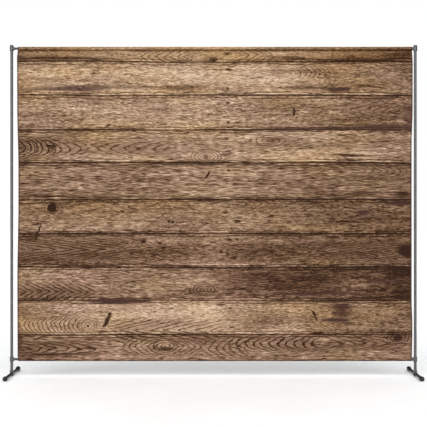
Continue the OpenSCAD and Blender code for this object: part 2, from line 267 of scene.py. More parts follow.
# Dark brown marks: x, height, half length, half thickness, strength, tilt in degrees.
DARK_MARKS = [
    (-1.19, 2.445, 0.34, 0.022, 0.50, 0), (0.0, 2.446, 0.035, 0.022, 0.6, 0),
    (0.11, 2.49, 0.04, 0.012, 0.55, 0), (0.59, 2.454, 0.17, 0.014, 0.5, -3),
    (1.13, 2.435, 0.42, 0.018, 0.38, 0), (1.44, 2.47, 0.13, 0.05, 0.22, 0),
    (-0.27, 2.222, 0.17, 0.026, 0.42, 0), (0.115, 2.369, 0.024, 0.014, 0.85, 0),
    (0.04, 2.366, 0.07, 0.006, 0.55, 0), (0.108, 2.217, 0.016, 0.009, 0.9, 0),
    (0.70, 2.224, 0.22, 0.013, 0.42, 0), (1.19, 2.24, 0.13, 0.008, 0.5, -4),
    (-0.82, 1.928, 0.034, 0.008, 0.95, 22), (-0.70, 1.926, 0.10, 0.004, 0.6, -2),
    (0.112, 2.108, 0.02, 0.010, 0.85, 0), (0.112, 1.960, 0.014, 0.011, 0.85, 0),
    (0.62, 2.033, 0.008, 0.032, 1.5, 0), (0.01, 1.975, 0.06, 0.006, 0.5, 0),
    (-1.25, 1.774, 0.05, 0.010, 0.7, 0), (-0.055, 1.690, 0.022, 0.014, 0.6, 0),
    (0.10, 1.836, 0.016, 0.009, 0.8, 0), (0.10, 1.72, 0.035, 0.028, 0.4, 0),
    (0.455, 1.826, 0.08, 0.022, 0.35, 0), (1.02, 1.705, 0.11, 0.012, 0.8, -2),
    (1.05, 1.667, 0.09, 0.008, 0.65, -3), (1.15, 1.70, 0.05, 0.008, 0.5, 0),
    (1.02, 1.86, 0.08, 0.006, 0.5, 0), (-0.045, 1.55, 0.034, 0.009, 1.4, 62),
    (0.0, 1.573, 0.05, 0.004, 0.6, 0), (0.117, 1.588, 0.012, 0.008, 0.9, 0),
    (0.135, 1.425, 0.022, 0.006, 0.65, 0), (1.47, 1.405, 0.08, 0.022, 0.7, 0),
    (-1.247, 1.302, 0.034, 0.034, 1.9, 0), (-1.357, 1.114, 0.064, 0.008, 1.5, 69),
    (-1.37, 1.172, 0.045, 0.006, 0.6, 8), (-0.345, 1.19, 0.011, 0.010, 0.7, 0),
    (-0.31, 1.187, 0.013, 0.009, 0.75, 0), (0.09, 1.27, 0.024, 0.012, 0.65, 0),
    (0.185, 1.192, 0.028, 0.011, 0.75, 15), (1.03, 1.191, 0.13, 0.008, 0.8, 0),
    (-1.42, 1.065, 0.12, 0.03, 0.22, 0), (-0.543, 1.037, 0.024, 0.013, 0.9, 0),
    (-0.42, 1.03, 0.022, 0.011, 0.8, -25), (0.115, 1.052, 0.022, 0.008, 0.65, 0),
    (0.18, 1.055, 0.012, 0.009, 0.65, 0), (0.16, 0.914, 0.035, 0.011, 0.6, 10),
    (1.26, 1.107, 0.012, 0.026, 0.65, 0), (1.5, 0.96, 0.07, 0.055, 0.8, 0),
    (1.44, 0.79, 0.11, 0.035, 0.4, 0),
    (-0.076, 0.663, 0.016, 0.014, 0.4, 0), (1.45, 0.643, 0.08, 0.012, 0.7, 0),
    (-0.818, 0.435, 0.066, 0.017, 1.2, 66), (-0.80, 0.478, 0.022, 0.006, 1.1, 0),
    (0.063, 0.546, 0.045, 0.005, 1.0, 0), (0.125, 0.522, 0.022, 0.005, 0.9, 0),
    (0.134, 0.377, 0.020, 0.007, 0.75, 0), (0.78, 0.47, 0.046, 0.007, 1.5, -68),
    (0.99, 0.50, 0.07, 0.06, 0.45, 0), (-0.97, 0.392, 0.012, 0.010, 0.6, 0),
    (0.86, 0.46, 0.26, 0.10, 0.19, 0), (0.74, 0.70, 0.30, 0.08, 0.12, 0),
    (0.28, 0.45, 0.28, 0.12, 0.35, 0), (0.32, 0.70, 0.26, 0.10, 0.18, 0),
    (-0.95, 0.22, 0.07, 0.010, 0.55, 0), (-1.2, 0.172, 0.27, 0.008, 0.5, 2),
    (-0.365, 0.207, 0.055, 0.010, 0.7, 0), (1.425, 0.293, 0.032, 0.022, 0.75, 0),
    (0.80, 0.325, 0.055, 0.011, 0.7, 0), (-1.5, 0.30, 0.03, 0.12, 0.25, 0),
]

# Purple stains, in the same order.
STAINS = [
    (-1.50, 2.455, 0.05, 0.02, 0.55, 0), (-1.01, 2.222, 0.20, 0.022, 0.75, 1),
    (-1.34, 2.213, 0.19, 0.014, 0.45, 0), (-0.62, 2.228, 0.22, 0.012, 0.3, 0),
    (0.95, 2.21, 0.085, 0.018, 1.3, 2), (1.0, 2.222, 0.05, 0.010, 1.1, 0),
    (1.30, 1.915, 0.24, 0.030, 0.65, 0), (0.75, 1.907, 0.35, 0.014, 0.5, 0),
    (1.51, 2.0, 0.045, 0.11, 0.45, 0), (1.15, 1.41, 0.10, 0.022, 0.45, 0),
    (1.16, 1.262, 0.065, 0.020, 0.75, 0), (1.42, 1.337, 0.10, 0.018, 0.9, 0),
    (-0.76, 0.578, 0.22, 0.020, 1.4, 0),
    (0.78, 0.636, 0.36, 0.013, 0.6, 0), (0.62, 0.763, 0.08, 0.008, 0.7, 0),
    (1.35, 0.73, 0.20, 0.02, 0.45, 0), (-0.858, 0.342, 0.036, 0.012, 0.85, 0),
    (0.95, 0.432, 0.10, 0.015, 1.0, 0), (0.99, 0.535, 0.09, 0.022, 0.7, 0),
    (1.0, 0.482, 0.08, 0.024, 0.35, 0), (1.02, 0.408, 0.07, 0.009, 0.6, 0),
    (0.45, 2.17, 0.3, 0.006, 0.5, 0), (-0.1, 1.632, 0.5, 0.007, 0.55, 0),
]

# Pale places, in the same order.
PALE_MARKS = [
    (-0.10, 1.70, 0.12, 0.045, 0.35, 0), (-0.24, 1.43, 0.10, 0.025, 0.45, 0),
    (0.07, 0.43, 0.24, 0.06, 0.45, 0), (-0.97, 0.392, 0.055, 0.042, 0.5, 0),
    (-0.375, 0.248, 0.045, 0.028, 0.6, 0), (-0.076, 0.663, 0.034, 0.026, 0.5, 0),
    (0.68, 2.30, 0.16, 0.05, 0.25, 0), (-0.35, 2.30, 0.45, 0.06, 0.2, 0),
    (0.3, 0.865, 0.5, 0.006, 0.7, 0), (0.0, 0.862, 0.4, 0.006, 0.7, 0),
    (-1.247, 1.302, 0.066, 0.058, 0.3, 0),
]

# Arched grain: x and height of the middle, half length, half thickness, way the tips
# point (1 right, -1 left), number of lines, how far the tips reach, roundness, strength.
ARCHES = [
    (-1.12, 0.975, 0.48, 0.110, 1, 8, 1.50, 1.1, 0.95),
    (-1.22, 0.645, 0.36, 0.085, 1, 12, 0.50, 1.0, 0.9),
    (-1.25, 0.395, 0.29, 0.080, -1, 17, 0.35, 2.2, 0.9),
    (-0.35, 0.350, 0.50, 0.100, -1, 9, 0.80, 1.0, 0.85),
    (-1.15, 0.215, 0.36, 0.075, 1, 7, 0.90, 1.4, 0.75),
    (-0.55, 0.225, 0.18, 0.080, -1, 7, 0.80, 1.2, 0.8),
    (-0.20, 0.220, 0.16, 0.080, 1, 7, 0.80, 1.2, 0.7),
    (0.08, 0.215, 0.22, 0.080, -1, 8, 0.50, 1.2, 0.7),
    (0.45, 0.250, 0.42, 0.075, -1, 13, 0.40, 1.8, 0.9),
    (1.15, 0.250, 0.30, 0.070, 1, 7, 0.80, 1.4, 0.5),
    (-1.38, 1.762, 0.22, 0.100, 1, 9, 0.80, 2.2, 0.9),
    (-1.12, 1.757, 0.18, 0.070, 1, 5, 0.90, 2.0, 0.7),
    (-0.66, 1.755, 0.38, 0.075, -1, 7, 0.80, 1.7, 0.65),
    (-0.38, 2.468, 0.26, 0.055, -1, 9, 0.50, 1.2, 0.7),
    (0.78, 2.335, 0.17, 0.070, 1, 9, 0.50, 1.8, 0.45),
    (0.93, 2.275, 0.12, 0.060, 1, 6, 0.60, 1.4, 0.35),
    (1.10, 0.960, 0.42, 0.100, -1, 7, 1.70, 1.0, 0.6),
    (0.45, 0.955, 0.36, 0.080, 1, 5, 1.60, 1.2, 0.35),
    (0.33, 2.480, 0.18, 0.060, 1, 6, 0.70, 1.0, 0.5),
    (-0.45, 0.945, 0.34, 0.075, -1, 5, 1.50, 1.4, 0.5),
    (0.35, 1.330, 0.22, 0.090, 1, 8, 0.80, 1.5, 0.4),
    (1.33, 1.580, 0.22, 0.080, 1, 8, 0.80, 1.5, 0.45),
    (0.45, 0.735, 0.60, 0.085, 1, 6, 2.00, 1.2, 0.6),
    (1.25, 2.040, 0.26, 0.080, -1, 6, 0.90, 1.4, 0.35),
]

# Rings round a knot: x, height, half length, half thickness, number of rings, strength.
RINGS = [
    (-1.50, 1.757, 0.22, 0.120, 8, 0.9), (-0.055, 1.692, 0.17, 0.080, 6, 0.9),
    (-0.076, 0.663, 0.13, 0.065, 5, 0.9), (-0.97, 0.392, 0.11, 0.070, 5, 0.8),
    (-0.26, 0.925, 0.32, 0.045, 2, 0.5), (-0.328, 1.188, 0.06, 0.030, 3, 0.7),
    (-1.247, 1.302, 0.10, 0.080, 4, 0.5), (1.425, 0.293, 0.13, 0.070, 5, 0.8),
    (-0.375, 0.228, 0.14, 0.075, 5, 0.9), (0.0, 2.45, 0.10, 0.050, 4, 0.6),
    (0.444, 1.815, 0.21, 0.070, 4, 0.65), (0.60, 1.82, 0.09, 0.080, 4, 0.35),
]

# The studio light lifts the cloth by a good quarter, so its dyes are that much darker.
DYE = 0.78
WOOD = [
    (0.0, linear(44, 22, 6, DYE)), (0.14, linear(72, 45, 22, DYE)),
    (0.30, linear(102, 74, 51, DYE)), (0.48, linear(131, 103, 79, DYE)),
    (0.64, linear(158, 128, 101, DYE)), (0.80, linear(187, 156, 127, DYE)),
    (1.0, linear(224, 197, 168, DYE)),
]
STAIN_PURPLE = linear(68, 42, 37, DYE)
# Colour of the painted shade along the side hems, where the cloth turns in.
HEM_SHADE = linear(58, 34, 32)


def distance_from(graph, point, x, height, length, thickness, tilt=0.0):
    """How far a point is from a mark's middle, where 1 is on the edge of its oval."""
    if not tilt:
        scale = (1 / length, 1 / thickness, 0)
        local = graph.scaled(point, scale, (-x / length, -height / thickness, 0))
        values = {0: local}
        return Val(graph, graph.node("ShaderNodeVectorMath", values, operation="LENGTH").outputs[1])
    c, s = math.cos(math.radians(tilt)), math.sin(math.radians(tilt))
    squares = []
    for way, size in (((c, s), length), ((-s, c), thickness)):
        place = graph.dot(point, (way[0] / size, way[1] / size, 0))
        away = place - (x * way[0] + height * way[1]) / size
        squares.append(away * away)
    return (squares[0] + squares[1]).math("SQRT")


def marks(graph, point, rows):
    """The sum of soft oval marks, each of which has its full strength in the middle."""
    total = None
    for x, height, length, thickness, strength, tilt in rows:
        far = distance_from(graph, point, x, height, length, thickness, tilt)
        mark = far.ramp(1.35, 0.45, 0.0, strength)
        total = mark if total is None else total + mark
    return total


def line_wave(phase):
    """Narrow dark lines, one to each whole step of the phase."""
    return (phase * math.tau).sin().ramp(0.35, 1.0)


def arched_grain(graph, point, warp):
    """Arches and rings: how dark their lines are, and how much they push plain grain out."""
    lines = cover = None
    for x, height, length, thickness, way, count, reach, roundness, strength in ARCHES:
        scale = (way / length, 1 / thickness, 0)
        local = graph.scaled(point, scale, (-way * x / length, -height / thickness, 0))
        along, across, _ = graph.split(local)
        across = across.abs()
        bent = (across ** roundness).times_plus(reach, along)
        edge = along.abs().max(across)
        mask = edge.ramp(1.0, 0.62, 0.0, strength)
        wave = line_wave(bent * (count / 2) + warp * min(count / 2, 3)) * mask
        lines = wave if lines is None else lines.max(wave)
        cover = mask if cover is None else cover.max(mask)
    for x, height, length, thickness, count, strength in RINGS:
        far = distance_from(graph, point, x, height, length, thickness)
        mask = far.ramp(1.0, 0.6, 0.0, strength)
        wave = line_wave(far * count + warp * min(count, 3)) * mask
        lines = lines.max(wave)
        cover = cover.max(mask)
    return lines, cover


def board_values(g, x, level):
    """What a board has of its own: its tone along its length, and its grain's seed, warmth
    and strength."""
    height = level * (1 / PRINT_TOP)
    places = [0.0] + [gap / PRINT_TOP for gap in BOARD_GAPS]
    tones = g.colours(height, [
        (place, (*tone, 1)) for place, tone in zip(places, BOARD_TONES)
    ], "CONSTANT")
    grains = g.colours(height, [
        (place, (*grain, 1)) for place, grain in zip(places, BOARD_GRAINS)
    ], "CONSTANT")
    side = x * (1 / TONE_REACH)
    weights = g.join((side * -1).max(0), side.abs() * -1 + 1, side.max(0))
    tone = g.dot(tones, weights)
    return (tone, *g.split(grains))


def plain_grain(g, x, z, seed, strength):
    """Grain that runs along the boards in streaks, with thin dark threads and pores among
    them. It is longer on the boards where it is stronger. A seed sets the boards apart."""
    own = g.join(seed * 31 + x, z, seed * 7)
    broad = g.noise(own, (1.1, 11, 1), 2.0, 0.55)
    sway = g.noise(own, (2.2, 5, 1), 1.0, 0.5, shift=(9, 1, 0))
    shrink = strength.ramp(0.58, 0.76, 1.15, 0.5)
    swayed = g.join((seed * 31 + x) * shrink, (sway - 0.5) * 0.05 + z, seed * 7)
    streak = g.noise(swayed, (5, 55, 1), 5.0, 0.6)
    fine = g.noise(swayed, (30, 180, 1), 4.0, 0.65, shift=(3, 0, 0))
    threads = (g.noise(swayed, (3, 46, 1), 2.0, 0.6, shift=(0, 6, 0)) - 0.5).abs().ramp(0.024, 0.0)
    hairs = (g.noise(swayed, (8, 80, 1), 1.0, 0.6, shift=(7, 2, 0)) - 0.5).abs().ramp(0.040, 0.0)
    threads = threads.max(hairs * 0.8)
    pores = g.noise(swayed, (22, 125, 1), 1.0, 0.5, shift=(0, 6, 0)).ramp(0.42, 0.32)
    return broad, streak, fine, threads, pores


def board_gaps(g, start, level):
    """A gap is a dark line with a fainter, wavering one on each side and a pale worn edge
    above it, and the boards round off towards it."""
    gap = edge = None
    for place in BOARD_GAPS:
        away = (level - place).abs()
        above = (level - (place + WORN_EDGE)).abs()
        gap = away if gap is None else gap.min(away)
        edge = above if edge is None else edge.min(above)
    gap_noise = g.noise(start, (2.6, 3.5, 1), 2.0, 0.6, shift=(2, 5, 0))
    core = gap.ramp(0.0085, 0.0020) * gap_noise.ramp(0.70, 0.35, 0.50, 1.0)
    lip = (gap - gap_noise.ramp(0.3, 0.7, 0.010, 0.026)).abs().ramp(0.006, 0.001)
    gap_dark = core.max(lip * 0.45)
    edge = edge.ramp(0.0065, 0.002) * gap_noise.ramp(0.45, 0.62)
    bevel = gap.ramp(0.050, 0.012)
    return gap_dark, edge, bevel


def seam_shades(g, start, ragged):
    """Painted shade: a dark crease where the top pocket turns in to its seam, and a darker
    band where the bottom pocket turns under its bar."""
    height = g.split(start)[1]
    painted_crease_shade = (height - (TOP_SEAM + 0.012)).abs().ramp(0.011, 0.004)
    painted_crease_shade = painted_crease_shade * ragged.ramp(0.2, 0.5, 0.75, 1.0)
    # Painted shade where the bottom pocket turns under its bar.
    under = height.ramp(BOTTOM_BAR - 0.003, BOTTOM_BAR - 0.011)
    return painted_crease_shade, under


def dyed(g, start, tone, warmth, stain, grain):
    """The print's colour: brown by its tone, warmer or cooler by board and in slow patches,
    and purple where it is stained."""
    colour = g.colours(tone, WOOD)
    hue = g.noise(start, (1.6, 5, 1), 1.0, 0.5, shift=(8, 3, 0))
    warm = ((hue - 0.5) * 1.4 + warmth).math("ADD", 0.0, clamp=True)
    tint = g.colours(warm, [
        (0.0, (1.03, 0.96, 1.10, 1)), (0.5, (1.0, 1.0, 1.0, 1)), (1.0, (1.08, 1.0, 0.76, 1)),
    ])
    colour = g.mix(1.0, colour, tint, "MULTIPLY")
    streak, fine = grain
    stain = (stain * (streak + fine * 2).ramp(1.10, 1.75)).math("MULTIPLY", 1.7, clamp=True)
    return g.mix(stain, colour, STAIN_PURPLE)


def shade_side_hems(g, x, ragged, colour):
    """Painted shade darkens the print where the cloth turns in at its two side hems."""
    out = (x - MIDDLE_X).abs()
    half = (HIGH_X - LOW_X) / 2
    hem_shade_mask = out.ramp(half - 0.018, half - 0.006) * ragged.ramp(0.35, 0.6, 0.3, 0.85)
    return g.mix(hem_shade_mask, colour, HEM_SHADE)


def board_print():
    """A node group with the printed boards: it takes the print map and gives a colour."""
    tree = bpy.data.node_groups.new("board_print", "ShaderNodeTree")
    tree.interface.new_socket("Point", in_out="INPUT", socket_type="NodeSocketVector")
    tree.interface.new_socket("Colour", in_out="OUTPUT", socket_type="NodeSocketColor")
    g = Graph(tree)
    start = g.node("NodeGroupInput").outputs[0]

    # The whole print wavers a little, so that no line is ruled.
    waver = g.noise(start, (0.8, 1.9, 1), 2.0, 0.6)
    ragged = g.noise(start, (9, 30, 1), 4.0, 0.6, shift=(4, 2, 0))
    x, z, _ = g.split(start)
    z = z + (waver - 0.5) * 0.034
    level = z + (ragged - 0.5) * 0.007
    point = g.join(x, z)
    tone, seed, warmth, strength = board_values(g, x, level)
    broad, streak, fine, threads, pores = plain_grain(g, x, z, seed, strength)

    # Arches, rings and marks have edges that follow the streaks.
    warp = (g.noise(start, (6, 20, 1), 2.0, 0.6, shift=(1, 7, 0)) - 0.5) * 0.5
    lines, cover = arched_grain(g, point, warp)
    lines = lines * streak.ramp(0.35, 0.6, 0.45, 1.15)
    rag = (streak - 0.5) * 0.02
    ragged_point = g.join(x + (ragged - 0.5) * 0.05, z + rag)
    dark = marks(g, ragged_point, DARK_MARKS)
    stain_point = g.join(x + (ragged - 0.5) * 0.14, z + (streak - 0.5) * 0.045)
    stain = marks(g, stain_point, STAINS)
    pale = marks(g, ragged_point, PALE_MARKS)
    gap_dark, edge, bevel = board_gaps(g, start, level)

    # Everything that darkens or lightens the print adds to one tone.
    plain = (streak - 0.5) * 0.34 + (fine - 0.5) * 1.05 - pores * 0.15
    plain = plain - threads * 0.15 + 0.063
    quiet = cover * -0.5 + 1
    total = plain * strength * 2.9 * quiet + (broad - 0.5) * 0.65 + (ragged - 0.5) * 0.35 + tone
    total = total - lines * 0.58 - dark * (streak + 0.55) * 0.60
    total = total + pale * 0.26 + edge * 0.22 - bevel * 0.05 - gap_dark * 0.70
    # Painted shade in the top pocket's crease and under the bottom pocket's bar darkens the tone.
    painted_crease_shade, under = seam_shades(g, start, ragged)
    total = total - painted_crease_shade * 0.36 - under * 0.30

    colour = dyed(g, start, total, warmth, stain, (streak, fine))
    colour = shade_side_hems(g, x, ragged, colour)
    end = g.node("NodeGroupOutput")
    g.put(colour, end.inputs[0])
    return tree


PRINT = board_print()

# Colour of the bare polyester, and how far apart its threads are.
UNDYED = (0.6, 0.55, 0.5, 1)
THREAD_PITCH = 0.0006


def weave(graph, point):
    """The height of a plain weave on the print map."""
    x, z, _ = graph.split(point)
    over = (x * (math.pi / THREAD_PITCH)).sin().abs()
    under = (z * (math.pi / THREAD_PITCH)).sin().abs()
    return over * under


def cloth_material(name, share, base, roughness):
    """Printed cloth: share says how much of the print shows on the plain base colour."""
    graph, finish = new_material(name)
    point = graph.uv("print")
    group = graph.node("ShaderNodeGroup", node_tree=PRINT)
    graph.put(point, group.inputs[0])
    colour = graph.mix(share, base, group.outputs[0])
    slub = graph.noise(point, (60, 900, 1), 1.0, 0.5)
    colour = graph.mix(slub.ramp(0.3, 0.7, 0.0, 0.02), colour, UNDYED)
    soft = graph.noise(point, 5.0, 2.0, 0.5)
    height = weave(graph, point) * 0.6 + slub * 0.4
    normal = graph.bump(height, 0.4, 0.0004)
    return finish(
        Base_Color=colour, Roughness=soft.ramp(0.3, 0.7, roughness, roughness + 0.1),
        Normal=normal, Specular_IOR_Level=0.06,
    )


CLOTH_FRONT = cloth_material("printed_front", share=1.0, base=UNDYED, roughness=0.80)
CLOTH_BACK = cloth_material("pale_back", share=0.16, base=(0.62, 0.60, 0.57, 1), roughness=0.86)


# ---- Coatings, plastic and metal ----

def coated(name, tone, wear, roughness, grain, depth, along=(1, 1, 1), **more):
    """Paint or moulded plastic: a mottled tone, a skin grained to a depth in metres, and fine
    rub marks in the wear colour, drawn out where along is small."""
    graph, finish = new_material(name)
    point = graph.object_point()
    mottle = graph.noise(point, 23.0, 3.0, 0.6)
    speck = graph.noise(point, 900.0, 2.0, 0.6)
    rub = graph.noise(point, tuple(90 * a for a in along), 4.0, 0.7)
    low = tuple(c * 0.82 for c in tone)
    high = tuple(c * 1.22 for c in tone)
    colour = graph.mix(mottle.ramp(0.3, 0.7), (*low, 1), (*high, 1))
    colour = graph.mix(speck.ramp(0.55, 0.8, 0.0, 0.25), colour, (*wear, 1))
    colour = graph.mix(rub.ramp(0.62, 0.78, 0.0, 0.35), colour, (*wear, 1))
    skin = graph.noise(point, grain, 2.0, 0.55)
    rough = mottle.ramp(0.25, 0.75, roughness - 0.05, roughness + 0.07) + rub * 0.04
    normal = graph.bump(skin * 0.8 + rub * 0.2, 0.35, depth)
    return finish(Base_Color=colour, Roughness=rough, Normal=normal, **more)


def plated(name, tone, roughness):
    """Zinc plating: bright metal with fine turning marks and dull patches."""
    graph, finish = new_material(name)
    point = graph.object_point()
    turned = graph.noise(point, (300, 4000, 300), 2.0, 0.6)
    patch = graph.noise(point, 60.0, 3.0, 0.6)
    dull = tuple(c * 0.7 for c in tone)
    colour = graph.mix(patch.ramp(0.4, 0.7), (*tone, 1), (*dull, 1))
    rough = patch.ramp(0.3, 0.7, roughness, roughness + 0.18)
    normal = graph.bump(turned, 0.3, 0.00006)
    return finish(Base_Color=colour, Roughness=rough, Normal=normal, Metallic=1.0)


TUBE = coated(
    "tube_paint", tone=(0.055, 0.055, 0.057), wear=(0.11, 0.11, 0.11), roughness=0.34,
    grain=1500.0, depth=0.00008, along=(1, 1, 0.08), Specular_IOR_Level=0.7,
)
ARM = coated(
    "arm_paint", tone=(0.024, 0.024, 0.026), wear=(0.06, 0.06, 0.06), roughness=0.34,
    grain=1500.0, depth=0.00006, along=(0.08, 1, 1), Specular_IOR_Level=0.5,
)
CONNECTOR = coated(
    "connector_plastic", tone=(0.020, 0.021, 0.023), wear=(0.05, 0.05, 0.05), roughness=0.28,
    grain=1100.0, depth=0.00010, Specular_IOR_Level=1.0,
)
KNOB = coated(
    "knob_plastic", tone=(0.014, 0.014, 0.015), wear=(0.04, 0.04, 0.04), roughness=0.42,
    grain=1300.0, depth=0.00012, Specular_IOR_Level=0.5,
)
NYLON = coated(
    "nylon", tone=(0.035, 0.035, 0.036), wear=(0.08, 0.08, 0.08), roughness=0.48,
    grain=900.0, depth=0.00006,
)
FOOT = coated(
    "foot_gloss_paint", tone=(0.003, 0.003, 0.004), wear=(0.012, 0.012, 0.012), roughness=0.22,
    grain=800.0, depth=0.00005, along=(0.5, 0.1, 0.5), Specular_IOR_Level=0.15,
)
RUBBER = coated(
    "foot_rubber", tone=(0.005, 0.005, 0.006), wear=(0.02, 0.02, 0.02), roughness=0.36,
    grain=700.0, depth=0.00015, Specular_IOR_Level=0.4,
)
ZINC = plated("zinc_plate", tone=(0.62, 0.62, 0.60), roughness=0.26)

# The first of these parts that is in a node's name gives its material.
BY_NAME = [
    ("upright", TUBE), ("spigot", TUBE), ("centre_tube", TUBE), ("sleeve", TUBE),
    ("arm_bush", NYLON), ("slide_bush", NYLON), ("guide_ring", NYLON), ("arm", ARM),
    ("connector", CONNECTOR), ("screw", ZINC), ("snap", ZINC), ("knob", KNOB),
    ("foot_socket", TUBE), ("foot_tube", FOOT), ("foot_pad", RUBBER), ("foot_bolt", ZINC),
    ("rubber_ends", RUBBER),
]
for node_name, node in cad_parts.items():
    found = [material for part, material in BY_NAME if part in node_name]
    if found:
        for material_slot in node.material_slots:
            material_slot.material = found[0]


# ---- The cloth ----

# Thickness of the cloth, width of its hems, and how far a pocket's rear layer lies behind
# its front one at the seam.
THICK = 0.0007
HEM = 0.012
FLAP = 0.0012

# How many columns and rows of faces the plain middle of the cloth has, and how many steps
# go round a bar.
COLUMNS = 120
ROWS = 121
POCKET_STEPS = 22

# How far each side edge is drawn in, in millimetres, at heights in metres.
LEFT_EDGE = [(0.11, 9), (0.17, 2), (0.75, 0), (1.3, 8), (1.6, 8), (2.1, -1), (2.46, -2), (2.54, 8)]
RIGHT_EDGE = [(0.11, 3), (0.38, -2), (0.6, 4), (1.75, 4), (2.1, -4), (2.4, -4), (2.54, 2)]

# How far in from a side edge its pull and its curl reach.
PULL_REACH = 0.3
CURL_REACH = 0.05


def smooth(t):
    """A smooth step from 0 to 1 as t goes from 0 to 1."""
    t = np.clip(t, 0, 1)
    return t * t * (3 - 2 * t)


def edge_curve(rows, height):
    """The value of a given curve at each height, eased between its points."""
    places = np.array([row[0] for row in rows])
    values = np.array([row[1] for row in rows]) / 1000
    index = np.clip(np.searchsorted(places, height) - 1, 0, len(rows) - 2)
    t = (height - places[index]) / (places[index + 1] - places[index])
    return values[index] + (values[index + 1] - values[index]) * smooth(t)


def settle(x, height):
    """Where the hung cloth's sideways pull and slow ripples put a point: its x and y."""
    from_left, from_right = x - LOW_X, HIGH_X - x
    left = edge_curve(LEFT_EDGE, height) * smooth(1 - from_left / PULL_REACH)
    right = edge_curve(RIGHT_EDGE, height) * smooth(1 - from_right / PULL_REACH)
    # The ripples and the curl are in millimetres, and die out towards the pockets.
    free = smooth((TOP_SEAM - height) / 0.25) * smooth((height - BOTTOM_SEAM) / 0.2)
    wave = 0.7 * np.sin(6.1 * x + 1.4 * np.sin(2.3 * height))
    wave += 0.5 * np.sin(13.7 * x - 2.2 * height)
    wave += 0.4 * np.sin(3.1 * height + 1.7 * x + 0.6)
    wave += 0.3 * np.sin(23 * x + 3 * height + 1)
    curl = 2.2 * (smooth(1 - from_left / CURL_REACH) + smooth(1 - from_right / CURL_REACH))
    return x + left - right, (wave + curl) * 0.001 * free


def pocket_line(depth):
    """A pocket's cross-section from its front seam round the bar to the end of its hem, as
    (y, height over the bar) for a pocket that hangs down."""
    slope = math.asin(POCKET_R / depth)
    # Shares of the straight part from the seam to the bar, close together at the seam.
    rise = [0.0, 0.04, 0.12, 0.3, 0.6]
    touch_y, touch_z = POCKET_R * math.cos(slope), -POCKET_R * math.sin(slope)
    line = [(-touch_y * t, -depth + (touch_z + depth) * t) for t in rise]
    for step in range(POCKET_STEPS + 1):
        angle = math.pi + slope - step / POCKET_STEPS * (math.pi + 2 * slope)
        line.append((POCKET_R * math.cos(angle), POCKET_R * math.sin(angle)))
    for t in reversed(rise):
        line.append((FLAP + (touch_y - FLAP) * t, -depth + (touch_z + depth) * t))
    line += [(FLAP, -depth - HEM * t) for t in (0.1, 0.5, 1.0)]
    return line


def cloth_line():
    """The cloth's whole cross-section, from the top hem over the top bar, down the front
    and round the bottom bar to the bottom hem: y, z and distance on the print map."""
    top = [(y, TOP_BAR + z) for y, z in pocket_line(TOP_BAR - TOP_SEAM)][::-1]
    bottom = [(y, BOTTOM_BAR - z) for y, z in pocket_line(BOTTOM_SEAM - BOTTOM_BAR)]
    near = [0.001, 0.003, 0.008]
    heights = [TOP_SEAM - n for n in near]
    heights += list(np.linspace(TOP_SEAM - 0.02, BOTTOM_SEAM + 0.02, ROWS + 1))
    heights += [BOTTOM_SEAM + n for n in reversed(near)]
    line = np.array(top + [(0.0, z) for z in heights] + bottom)
    steps = np.hypot(*np.diff(line, axis=0).T)
    walked = np.concatenate([[0], np.cumsum(steps)])
    seam = len(top) - 1
    return line, line[seam, 1] - (walked - walked[seam]), walked[-1]


def cloth_columns():
    """Where the mesh's columns stand: close together at the side hems, even between them."""
    at_hem = np.array([0.0, 0.004, HEM - 0.0005, HEM + 0.0005])
    between = np.linspace(LOW_X + 0.03, HIGH_X - 0.03, COLUMNS + 1)
    return np.concatenate([LOW_X + at_hem, between, (HIGH_X - at_hem)[::-1]])


def layer_points(line, x):
    """The points of the cloth's outer layer, and then of its inner one, which lies deeper
    where the side hems double the cloth."""
    step = np.gradient(line, axis=0)
    step /= np.hypot(*step.T)[:, None]
    outward = np.stack([step[:, 1], -step[:, 0]], axis=1)
    height = np.broadcast_to(line[:, 1][:, None], x.shape)
    settled_x, ripple = settle(x, height)
    hem = np.where(np.minimum(x - LOW_X, HIGH_X - x) < HEM, THICK, 0.0)
    layers = []
    for offset in (THICK / 2, -THICK / 2 - hem):
        y = line[:, 0][:, None] + outward[:, 0][:, None] * offset + ripple
        z = height + outward[:, 1][:, None] * offset
        layers.append(np.stack([settled_x, y, z], axis=-1))
    return np.concatenate([layer.reshape(-1, 3) for layer in layers])


def layer_faces(rows, cols):
    """The faces of the outer layer, the inner layer, and the rim that joins them."""
    size = rows * cols
    at = np.arange(size).reshape(rows, cols)
    a, b, c, d = at[:-1, :-1], at[1:, :-1], at[1:, 1:], at[:-1, 1:]
    outer = np.stack([a, b, c, d], axis=-1).reshape(-1, 4)
    inner = np.stack([a, d, c, b], axis=-1).reshape(-1, 4) + size
    ring = np.concatenate([at[0, :], at[1:, -1], at[-1, -2::-1], at[-2:0:-1, 0]])
    following = np.roll(ring, -1)
    rim = np.stack([ring, following, following + size, ring + size], axis=-1)
    return outer, inner, rim


def add_print_map(mesh, x, along):
    """Give both layers the print map: x, and the distance along the cloth as a height."""
    flat = np.stack([x, np.broadcast_to(along[:, None], x.shape)], axis=-1).reshape(-1, 2)
    flat = np.concatenate([flat, flat])
    corners = np.zeros(len(mesh.loops), np.int32)
    mesh.loops.foreach_get("vertex_index", corners)
    layer = mesh.uv_layers.new(name="print")
    layer.data.foreach_set("uv", flat[corners].astype(np.float32).ravel())


